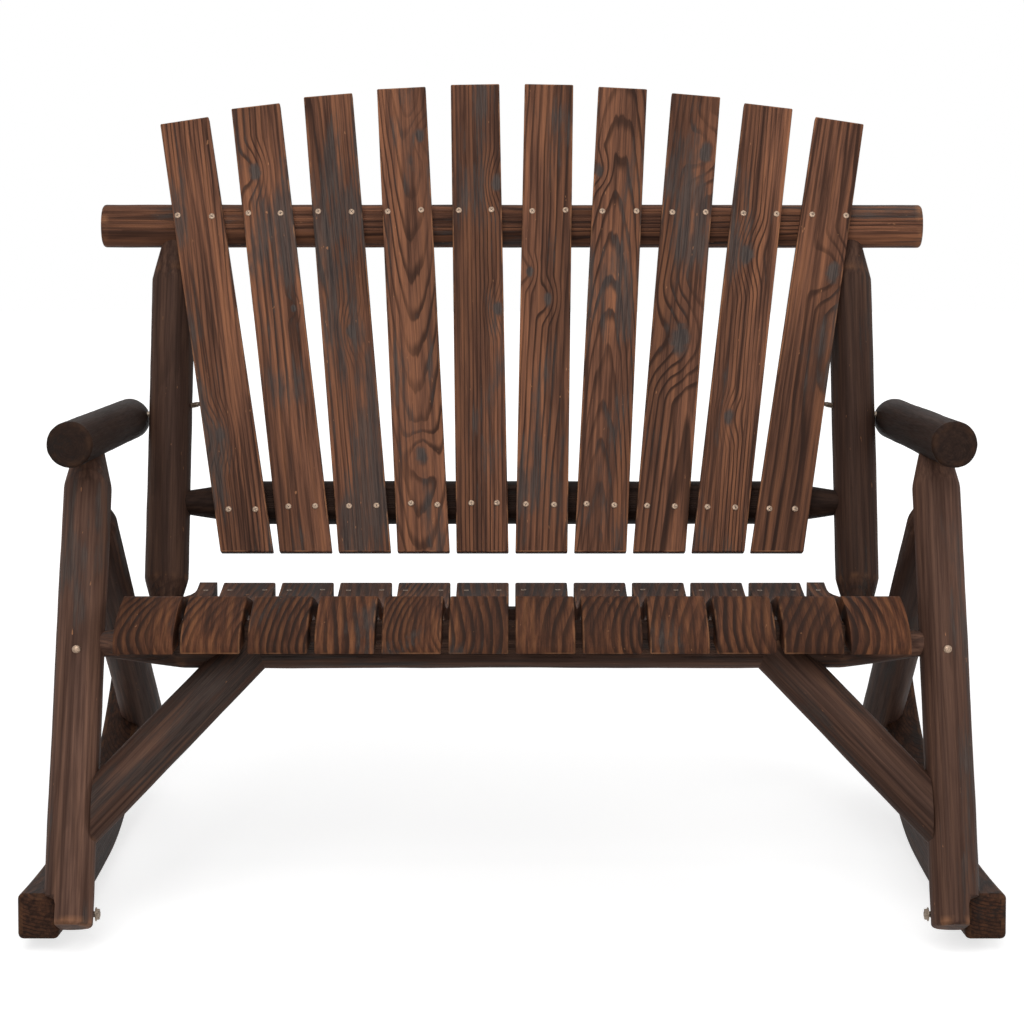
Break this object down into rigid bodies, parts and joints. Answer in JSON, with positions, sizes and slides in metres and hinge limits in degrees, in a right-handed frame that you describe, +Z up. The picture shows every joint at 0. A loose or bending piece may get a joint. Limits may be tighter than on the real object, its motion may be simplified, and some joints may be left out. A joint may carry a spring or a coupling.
{
  "type": "rocking bench",
  "caption": "Two-seat porch rocking bench of stained fir logs and boards, with a fanned slat back, contoured seat slats and log armrests.",
  "frame": {"origin": "middle of the bounding box's footprint, on the floor where the rockers stand", "axes": "+Z up, the sitter faces -Y, +X is to the right in the front view"},
  "size_m": [1.2, 0.862, 1.046],
  "materials": {
    "fir_log": "stained, satin",
    "fir_board": "stained, satin",
    "brass_plated_steel": "polished"
  },
  "bodies": {
    "root": {"front_leg_left": "fir_log", "front_leg_right": "fir_log", "rear_leg_left": "fir_log", "rear_leg_right": "fir_log", "armrest_left": "fir_log", "armrest_right": "fir_log", "brace_left": "fir_log", "brace_right": "fir_log", "front_seat_rail": "fir_log", "rear_seat_rail": "fir_log", "back_post_left": "fir_log", "back_post_right": "fir_log", "top_back_rail": "fir_log", "lower_back_rail": "fir_log", "rocker_left": "fir_board", "rocker_right": "fir_board", "seat_slat_01": "fir_board", "seat_slat_02": "fir_board", "seat_slat_03": "fir_board", "seat_slat_04": "fir_board", "seat_slat_05": "fir_board", "seat_slat_06": "fir_board", "seat_slat_07": "fir_board", "seat_slat_08": "fir_board", "seat_slat_09": "fir_board", "seat_slat_10": "fir_board", "seat_slat_11": "fir_board", "seat_slat_12": "fir_board", "back_slat_01": "fir_board", "back_slat_02": "fir_board", "back_slat_03": "fir_board", "back_slat_04": "fir_board", "back_slat_05": "fir_board", "back_slat_06": "fir_board", "back_slat_07": "fir_board", "back_slat_08": "fir_board", "back_slat_09": "fir_board", "back_slat_10": "fir_board", "rocker_front_bolt_left": "brass_plated_steel", "rocker_front_bolt_right": "brass_plated_steel", "rocker_rear_bolt_left": "brass_plated_steel", "rocker_rear_bolt_right": "brass_plated_steel", "arm_bolt_left": "brass_plated_steel", "arm_bolt_right": "brass_plated_steel", "rail_screw_left": "brass_plated_steel", "rail_screw_right": "brass_plated_steel"}
  },
  "joints": []
}
